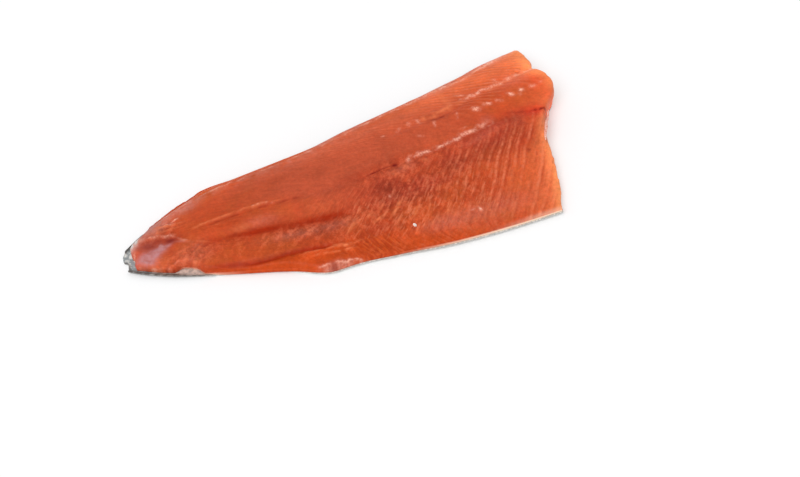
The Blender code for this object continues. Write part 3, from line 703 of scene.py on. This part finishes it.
def ragged(x, y, u, v):
    """How far the ends stray from their plan: torn steps at the head cut, a tongue at the tail tip."""
    steps = np.tanh(4 * noise(0, y, 3.4, 91)) * 0.3 + 0.35 * noise(0, y, 7.5, 92)
    steps = steps * (1 + 1.8 * within(y, -2, 6, 44, 52))
    steps += 0.15 * noise(x, y, 1.6, 93) - 0.9 * bell(y - 21, 6) - 0.3 * fade(x, 166, 168.5)
    to_tip = TIP_TONGUE * bell(y - 1.5, 3.5) * np.exp(-(u * length(v) / 7) ** 4)
    return steps * np.exp(-((1 - u) * length(v) / 3.5) ** 1.5) - to_tip


def crinkle(x):
    """How far the thin back edge near the tail strays from its plan."""
    stray = 0.45 * np.tanh(3 * noise(x, 0, 5, 97, 0)) + 0.2 * noise(x, 0, 1.8, 98, 0)
    return stray * within(x, -144, -136, -98, -84)


def flesh_grids(stations):
    """Points of the upper face, the lower face and the two sides, and shares of the width."""
    upper, lower, belly, back, shares = [], [], [], [], []
    for u in stations:
        wide, tops, insets = width(u), skin_tops(u), flesh_insets(u)
        v = row_distances(u, INSET, (90, 90), insets, FLESH_ROWS) / wide
        shares.append(v)
        upper.append(np.stack([*plan(u, v), flesh_height(u, v, *insets)], axis=1))
        distance = row_distances(u, FLESH_LIFT, tops, insets, FLESH_ROWS)
        lower.append(np.stack([*plan(u, distance / wide), skin_height(u, distance, FLESH_LIFT)], axis=1))
        rims = rim_height(u, np.array([insets[0], wide - insets[1]]) / wide)
        for k, (side, *curves) in enumerate(((belly, BELLY_CURL, BELLY_COVER, BELLY_SWELL),
                                             (back, BACK_CURL, BACK_COVER, BACK_SWELL))):
            radius, cover, swell = [smooth(curve, u) for curve in curves]
            away, high = side_profile(radius, tops[k], insets[k], rims[k], cover, swell)
            across = 1 - away / wide if k else away / wide
            side.append(np.stack([*plan(u, across), high], axis=1))
    return [np.array(grid) for grid in (upper, lower, belly, back, shares)]


def roughen_head_cut(face, section, level):
    """Bulges the face of the head cut, gives it seams and red muscle, and paints light on the middle band
    that lies in shade.
    """
    y, z = face[..., 1], face[..., 2]
    face[..., 0] += np.sin(np.pi * level)[:, None] ** 0.5 * (0.12 + 0.22 * noise(y, z, 2.4, 71, 0, 1.6))
    # Painted light: the face's middle band gets the muscle's red and is painted 35% brighter where it lies in
    # shade
    lit_red_band = within(y, -30, -12, 8, 17)
    section.update({"seam": section["seam"] + z / 3.6 + 0.5 * noise(y, z, 9, 72), "seamed": 0.8,
                    "cross": y, "run": section["run"] + z, "bright": section["bright"] * (1 + 0.35 * lit_red_band),
                    "red": np.clip(section["red"] + 0.7 * lit_red_band, 0, 1)})


def make_flesh(offset):
    long = length(0.5)
    rounding = np.sin(np.linspace(0, np.pi / 2, HEAD_ROWS + 1)) * HEAD_SHOULDER / long
    body = np.linspace(FLESH_FROM_TAIL / long, 1 - (FLESH_FROM_HEAD + HEAD_SHOULDER) / long,
                       FLESH_STATIONS - HEAD_ROWS)
    stations = np.concatenate([body[:-1], body[-1] + rounding])
    upper, lower, belly, back, v = flesh_grids(stations)
    along, level = stations[:, None], np.linspace(0, 1, SIDE_LEVELS)
    values = flesh_values(upper[..., 0], upper[..., 1], np.broadcast_to(along, v.shape), v)
    for grid, share in ((upper, v), (lower, v), (belly, 0), (back, 1)):
        grid[..., 0] += ragged(grid[..., 0], grid[..., 1], along, share)
    from_back = (v[:, -1:] - v) * widths(stations)
    upper[..., 1] += crinkle(upper[..., 0]) * bell(from_back, 2.5)
    back[..., 1] += crinkle(back[..., 0]) * fade(level, 0.1, 0.6)

    shell = Shell()
    shell.add_grid(upper, values)
    belly_foot, back_foot = FLESH_ROWS[0], v.shape[1] - 1 - FLESH_ROWS[2]
    for side, column, curl in ((belly, 0, slice(0, belly_foot + 1)), (back, -1, slice(back_foot, None))):
        edge = cut(values, np.s_[:, column, None])
        if side is belly:
            edge["fat"] = smooth(EDGE_FAT, along) * (1 - 0.8 * fade(level, 0.45, 1))
        shell.add_grid(side, edge)
        shell.add_grid(lower[:, curl], cut(values, np.s_[:, curl]))
    for end in (0, -1):
        face = between(lower[end], upper[end], level[:, None, None])
        for side, column in ((belly, 0), (back, -1)):
            rows_in = np.abs(np.arange(face.shape[1]) - column % face.shape[1])
            face += (side[end] - face[:, column])[:, None] * (1 - fade(rows_in, 0, 8))[:, None]
        section = cut(values, end)
        if end == -1:
            roughen_head_cut(face, section, level)
        shell.add_grid(face, section)
    middle = slice(belly_foot, back_foot + 1)
    loop = np.concatenate([lower[:, belly_foot], lower[-1, middle][1:-1], lower[::-1, back_foot],
                           lower[0, middle][::-1][1:-1]])
    shell.add_face(loop, {name: 0 for name in values})
    return shell.build("cut_flesh", offset, 75)


def make_skin(offset):
    stations = np.linspace(0, 1, SKIN_STATIONS)
    outer, inner, shares = [], [], []
    for u in stations:
        for lift, grid in ((0, outer), (SKIN, inner)):
            distance = row_distances(u, lift, skin_tops(u), (0, 0), SKIN_ROWS)
            v = distance / width(u)
            grid.append(np.stack([*plan(u, v), skin_height(u, distance, lift)], axis=1))
        shares.append(v)
    outer, inner, v = np.array(outer), np.array(inner), np.array(shares)
    along = np.broadcast_to(stations[:, None], v.shape)
    from_belly, run = v * widths(stations), along * length(0.5)
    dark = fade(along, 0.15, 0.09) * fade(from_belly, 4, 2.4) + fade(run, 1.8, 0.7) * fade(v, 0.62, 0.5)
    dark += fade(along, 0.2, 0.14) * fade(from_belly, 1.6, 0.8)
    dark += fade(along, 0.09, 0.06) * fade(widths(stations) - from_belly, 2.2, 0.9)
    values = {"across": v, "dark": np.clip(dark, 0, 1), "tip": fade(along, 0.06, 0.04), "run": run,
              "cross": from_belly}
    for grid in (outer, inner):
        x, y = grid[..., 0], grid[..., 1]
        worn = 0.35 * noise(x, y, 3, 95) + 0.2 * noise(x, y, 1.2, 96) - 0.35
        grid[..., 0] += worn * bell((1 - along) * length(0.5), 2)
    shell = Shell()
    shell.add_grid(outer, dict(values, inside=0))
    shell.add_grid(inner, dict(values, inside=1))
    for side in (0, -1):
        edge = dict(cut(values, np.s_[:, side, None]), inside=0.5)
        shell.add_grid(np.stack([outer[:, side], inner[:, side]], axis=1), edge)
        shell.add_grid(np.stack([outer[side], inner[side]]), dict(cut(values, side), inside=0.5))
    return shell.build("trout_skin", offset, 50)


def surface_height(x, y):
    """Height of the flesh's upper face at one place."""
    v = 0.5
    for _ in range(40):
        u = (x - across_plan(TAIL_EDGE, v)) / (across_plan(HEAD_EDGE, v) - across_plan(TAIL_EDGE, v))
        v = (y - along_plan(BELLY_EDGE, u)) / (along_plan(BACK_EDGE, u) - along_plan(BELLY_EDGE, u))
    return float(flesh_height(u, np.array([v]), *flesh_insets(u))[0])


def make_crumb(offset):
    """A small torn lump that lies half sunk in the surface."""
    half = Vector(CRUMB_HALF_SIZE)
    centre = Vector((*CRUMB_PLACE, surface_height(*CRUMB_PLACE) + half.z * 0.35))
    lean = Matrix.Rotation(math.radians(CRUMB_LEAN), 3, "Y")
    draw = np.random.default_rng(CRUMB_SEED).uniform(0, 6.28, 6)
    ball = bmesh.new()
    bmesh.ops.create_icosphere(ball, subdivisions=4, radius=1)
    for point in ball.verts:
        x, y, z = point.co
        swell = 1 + 0.22 * math.sin(3 * x + draw[0]) * math.cos(4 * y + draw[1])
        swell += 0.14 * math.sin(7 * y + draw[2])
        swell += 0.1 * math.sin(11 * x + draw[3]) * math.sin(9 * z + draw[4])
        point.co = (lean @ (point.co * half) * swell + centre) * MM + Vector(offset)
    mesh = bpy.data.meshes.new("fat_crumb")
    ball.to_mesh(mesh)
    ball.free()
    mesh.shade_smooth()
    return add_object("fat_crumb", mesh)


def unit(vectors):
    return vectors / np.linalg.norm(vectors, axis=-1, keepdims=True)


def make_strip(offset):
    """A thin torn strip along the head cut, oval in section."""
    path = [(x + 0.3 * math.sin(2.4 * k), y,
             surface_height(x - 1.1, y + 0.6) - STRIP_SINKS + 0.2 * math.sin(2.1 * k))
            for k, (x, y) in enumerate(STRIP_PLACES)]
    spread = np.linspace(0, len(path) - 1, STRIP_STATIONS)
    line = np.stack([smooth(list(enumerate(column)), spread) for column in zip(*path)], axis=1)
    ahead = unit(np.gradient(line, axis=0))
    beside = unit(np.cross(ahead, (0, 0, 1)))
    above = np.cross(beside, ahead)
    taper = np.sqrt(np.sin(np.linspace(0.12, np.pi - 0.12, STRIP_STATIONS)))[:, None, None]
    turn = np.linspace(0, 2 * np.pi, STRIP_SIDES + 1)[:, None]
    half_width, half_depth = STRIP_HALF_SIZE
    oval = np.cos(turn) * half_width * beside[:, None] + np.sin(turn) * half_depth * above[:, None]
    rings = line[:, None] + taper * oval
    shell = Shell()
    shell.add_grid(rings, {})
    for end in (0, -1):
        shell.add_face(rings[end, :-1], {})
    return shell.build("membrane_strip", offset, 180)


class Nodes:
    """The nodes of a material, whose inputs are numbers, sockets, named values or named colours."""

    def __init__(self, name, colour=None):
        self.material = bpy.data.materials.new(name)
        self.material.use_nodes = True
        self.tree = self.material.node_tree
        self.shader = self.tree.nodes["Principled BSDF"]
        self.colour = colour

    def put(self, socket, value):
        if isinstance(value, str):
            node = self.tree.nodes.new("ShaderNodeAttribute")
            node.attribute_name = value
            value = node.outputs["Fac"]
        if isinstance(value, bpy.types.NodeSocket):
            self.tree.links.new(value, socket)
        else:
            socket.default_value = value

    def add(self, kind, *values, output=0, **named):
        """The output of a new node whose inputs are given in order, or by name with _ for a space."""
        node = self.tree.nodes.new("ShaderNode" + kind)
        for socket, value in zip(node.inputs, values):
            self.put(socket, value)
        self.set(node, **named)
        return node.outputs[output]

    def set(self, node=None, **named):
        for name, value in named.items():
            self.put((node or self.shader).inputs[name.replace("_", " ")], value)

    def place(self):
        return self.add("NewGeometry")

    def math(self, operation, first, second=0):
        result = self.add("Math", first, second)
        result.node.operation = operation
        return result

    def plus(self, first, second):
        return self.math("ADD", first, second)

    def times(self, *factors):
        return functools.reduce(lambda first, second: self.math("MULTIPLY", first, second), factors)

    def ramp(self, value, low, high, first=0, last=1):
        return self.add("MapRange", value, low, high, first, last)

    def mix(self, share, first, second, blend="MIX"):
        node = self.tree.nodes.new("ShaderNodeMix")
        node.data_type, node.blend_type = "RGBA", blend
        self.put(node.inputs[0], share)
        for socket, colour in ((6, first), (7, second)):
            self.put(node.inputs[socket], srgb(colour) if isinstance(colour, str) else colour)
        return node.outputs[2]

    def paint(self, tint, *shares):
        """Lays a colour over the material's own, by the product of the shares or the value of its name."""
        self.colour = self.mix(self.times(*(shares or [tint])), self.colour, tint)

    def grain(self, along, across, lean=0):
        """Coordinates drawn out along the fibres: how often the pattern repeats in a millimetre."""
        cos, sin = turned(1, 0, -lean)
        tilted = self.plus(self.times("run", cos), self.times("cross", sin))
        aside = self.plus(self.times("cross", cos), self.times("run", -sin))
        level = self.times(self.add("SeparateXYZ", self.place(), output=2), GRAIN_RISE)
        return self.add("CombineXYZ", self.times(tilted, along), self.times(aside, across), level)

    def noise(self, scale, detail=2, vector=None, distortion=0):
        vector = vector or self.place()
        return self.add("TexNoise", Vector=vector, Scale=scale, Detail=detail, Distortion=distortion)

    def cells(self, scale, vector):
        return self.add("TexVoronoi", Vector=vector, Scale=scale)

    def bump(self, height, strength, distance):
        self.set(Normal=self.add("Bump", Strength=strength, Distance=distance, Height=height))


def flesh_material():
    nodes = Nodes("wet raw trout flesh", "flesh")
    noise, ramp, grain, mix = nodes.noise, nodes.ramp, nodes.grain, nodes.mix
    times, plus, paint = nodes.times, nodes.plus, nodes.paint
    streaks = mix("fan", noise(1, 3, grain(0.07, 0.4, -12)), noise(1, 3, grain(0.12, 0.45, 50)))
    fibres = mix("fan", noise(1, 2, grain(0.25, 1.1, -12)), noise(1, 2, grain(0.4, 0.9, 50)))
    pits = noise(480)
    small = ramp(noise(640, distortion=0.8), 0.32, 0.68, -1, 1)
    lumps = plus(times("crest", 0.85), times(small, 0.6))

    paint("brown", ramp(noise(62, distortion=0.4), 0.45, 0.68, 0, 0.5))
    paint("dull")
    # Painted light on the back strip and head end, with the belly flap's own warmer tone
    paint("warm and lit")
    paint("orange", "orange", 0.85)
    paint("red")
    # The lining is painted darker in the wrinkles' hollows, as painted shade
    paint(mix(ramp(lumps, -0.8, 0.8), "lining in shade", "lining"), "deep")
    # Pinkish grey membrane, and the painted sheen along the back's rim
    paint("film and sheen", "film and sheen", ramp(noise(380), 0.35, 0.6, 0.62, 1))
    paint("valley")
    # Painted glow of light through the thin flesh at the head end
    paint("painted glow")

    mottle = ramp(noise(330, distortion=0.4), 0.3, 0.7, -0.08, 0.08)
    # Painted shade in the wrinkles' hollows, a little lighter on their tops; the rest of the brightness below
    # is random tone and broad patches
    hollow_shade = ramp(lumps, -1, 0.6, -0.17, 0.06)
    shade = times("bright", ramp(noise(70, 3), 0.3, 0.7, 0.9, 1.1), ramp(streaks, 0.3, 0.7, 0.94, 1.06),
                  ramp(fibres, 0.3, 0.7, 0.95, 1.05), ramp(pits, 0.3, 0.7, 0.93, 1.07),
                  ramp(small, -1, 1, 0.955, 1.045), plus(1, times(mottle, "fan")),
                  plus(1, times(hollow_shade, "wrinkled")))
    nodes.colour = mix(1, nodes.colour, nodes.add("CombineXYZ", shade, shade, shade), "MULTIPLY")

    # Painted highlight on the tops of the wrinkles
    paint("pale seam and highlight", ramp(lumps, 0.2, 1.4), "wrinkled", 0.26)
    # The strokes are painted shaded in their hollows and lit on their ridges, matching their bump
    stroke = noise(1, 1, grain(0.15, 0.58, 53), 0.4)
    patchy = times("strokes", ramp(noise(85), 0.4, 0.62, 0.35, 1))
    paint("seam and stroke shade", ramp(stroke, 0.46, 0.3), patchy, 0.36)
    paint("pale seam and highlight", ramp(stroke, 0.54, 0.66), patchy, 0.46)
    # The curled flakes are painted shaded in their hollows and lit on their ridges, matching their bump
    curl = noise(1, 1, grain(0.09, 0.78, -47), 0.5)
    paint("curl shaded side", ramp(curl, 0.48, 0.36), "curls", 0.44)
    paint("curl lit side", ramp(curl, 0.52, 0.64), "curls", 0.42)

    # Each seam is pale tissue with a painted lit edge, and painted shade trails it on one side
    phase = nodes.math("FRACT", "seam")
    strength = times("seamed", ramp(noise(300), 0.35, 0.6, 0.2, 1))
    light = nodes.math("MAXIMUM", ramp(phase, 0.27, 0.02), ramp(phase, 0.68, 0.95))
    fine = times(ramp(nodes.math("ABSOLUTE", plus(phase, -0.55)), 0.14, 0.04), "fan", 0.35)
    paint("seam and stroke shade", ramp(phase, 0.12, 0.2), ramp(phase, 0.6, 0.26), strength, ramp("fan", 0, 1, 0.2, 0.4))
    paint("pale seam and highlight", nodes.math("MAXIMUM", light, fine), strength, 0.45)

    paint("strand", "strand", ramp(noise(420), 0.35, 0.6, 0.5, 1))
    paint("flank", "flank", ramp(noise(1, 2, grain(0.3, 0.05)), 0.35, 0.65, 0.72, 1))
    paint(mix(ramp(noise(260, 3, distortion=0.6), 0.4, 0.7), "lilac", "lilac pink"), "lilac", 0.9)
    paint("maroon")
    paint("ash", "ash", ramp(pits, 0.35, 0.5, 0.6, 1))
    paint("blood and shadow")
    paint("fat", "pale", ramp(noise(700), 0.4, 0.58, 0.35, 1))
    paint("edge fat", "fat")
    nodes.set(Base_Color=nodes.colour, Roughness=ramp(noise(240), 0.3, 0.7, 0.38, 0.56))
    nodes.set(Subsurface_Weight=0.12, Subsurface_Radius=(1, 0.32, 0.14), Subsurface_Scale=0.0012)
    nodes.set(Specular_IOR_Level=0.08, Coat_Weight=0.02, Coat_Roughness=0.15)
    raised = plus(plus(times(pits, 0.4), times(fibres, 0.6)), times(lumps, "wrinkled", 0.7))
    nodes.bump(plus(plus(raised, times(stroke, patchy, 4)), times(curl, "curls", 3)), 0.5, 0.0003)
    return nodes.material


def skin_material():
    nodes = Nodes("wet trout skin", "skin belly")
    noise, ramp, mix, paint = nodes.noise, nodes.ramp, nodes.mix, nodes.paint
    across = nodes.plus("across", ramp(noise(60, 3), 0, 1, -0.05, 0.05))
    scales = nodes.cells(1, nodes.grain(0.55, 0.75))
    paint("skin side", ramp(across, 0.15, 0.5))
    paint("skin blush", ramp(across, 0.42, 0.55), ramp(across, 0.68, 0.56), 0.5)
    paint("skin back", ramp(across, 0.6, 0.9))
    specks = ramp(nodes.cells(120, nodes.place()), 0.24, 0.16)
    paint("skin spot", specks, ramp(noise(48, 1), 0.5, 0.56), ramp(across, 0.5, 0.62))
    paint("skin back", ramp(scales, 0.3, 0.7, 0, 0.35))
    paint(mix(ramp(noise(420), 0.4, 0.65), "skin inside", "skin inside grey"), ramp("inside", 0.5, 1))
    paint(mix(ramp(noise(330, 3, distortion=0.8), 0.46, 0.62), "skin tip", "skin tip white"), "tip")
    paint("skin dark", "dark", ramp(noise(360), 0.35, 0.65, 0.6, 1))
    nodes.set(Base_Color=nodes.colour, Roughness=ramp(noise(200), 0.3, 0.7, 0.25, 0.42))
    nodes.set(Metallic=0.12, Specular_IOR_Level=0.45, Coat_Weight=0.25, Coat_Roughness=0.15)
    nodes.bump(scales, 0.5, 0.0003)
    return nodes.material


def shred_material(name, colour, second):
    nodes = Nodes(name)
    mottle = nodes.ramp(nodes.noise(900, 3), 0.35, 0.65)
    nodes.set(Base_Color=nodes.mix(mottle, colour, second), Roughness=0.4, Specular_IOR_Level=0.35)
    nodes.set(Subsurface_Weight=0.2, Subsurface_Radius=(1, 0.6, 0.4), Subsurface_Scale=0.001)
    nodes.bump(nodes.noise(1400), 0.4, 0.0002)
    return nodes.material


def make_floor():
    bpy.ops.mesh.primitive_plane_add(size=8, location=(0, 0, CAD_BOUNDS[0][2] - 0.0002))
    floor = bpy.context.object
    floor.name = "floor"
    nodes = Nodes("plain pale floor")
    nodes.set(Base_Color=FLOOR_COLOUR, Roughness=0.8)
    floor.data.materials.append(nodes.material)


def light_the_scene():
    scene = bpy.context.scene
    scene.world = bpy.data.worlds.new("studio")
    scene.world.use_nodes = True
    background = scene.world.node_tree.nodes["Background"]
    background.inputs["Color"].default_value = (1, 1, 1, 1)
    background.inputs["Strength"].default_value = WORLD_LIGHT
    lamp = bpy.data.lights.new("key", "SUN")
    lamp.energy = KEY_LIGHT
    lamp.angle = KEY_SPREAD
    add_object("key", lamp).rotation_euler = (-Vector(KEY_FROM)).to_track_quat("-Z", "Y").to_euler()
    scene.view_settings.view_transform = "Standard"


def make_camera(offset):
    right, up = Vector(CAMERA_RIGHT), Vector(CAMERA_UP)
    turn = Matrix((right, up, right.cross(up))).transposed().to_4x4()
    camera = add_object("camera", bpy.data.cameras.new("camera"))
    camera.matrix_world = Matrix.Translation(Vector(CAMERA_PLACE) * MM + Vector(offset)) @ turn
    camera.data.lens = CAMERA_LENS
    camera.data.sensor_width = 36
    camera.data.shift_x = CAMERA_SHIFT_X
    camera.data.clip_start = 0.01
    bpy.context.scene.camera = camera


def dress(piece, material, node, stands_for_node=False):
    piece.data.materials.append(material)
    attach(piece, "root")
    if stands_for_node:
        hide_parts(node)


def main():
    low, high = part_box("skin")
    offset = np.array([high.x - BACK_EDGE[-1][0] * MM, low.y - BELLY_EDGE[-1][1] * MM, low.z])
    dress(make_flesh(offset), flesh_material(), "flesh", True)
    dress(make_skin(offset), skin_material(), "skin", True)
    dress(make_crumb(offset), shred_material("white shred of fat", "white", "cream"), "flesh")
    dress(make_strip(offset), shred_material("torn membrane", "rose", "dusky rose"), "flesh")
    make_floor()
    light_the_scene()
    make_camera(offset)


main()
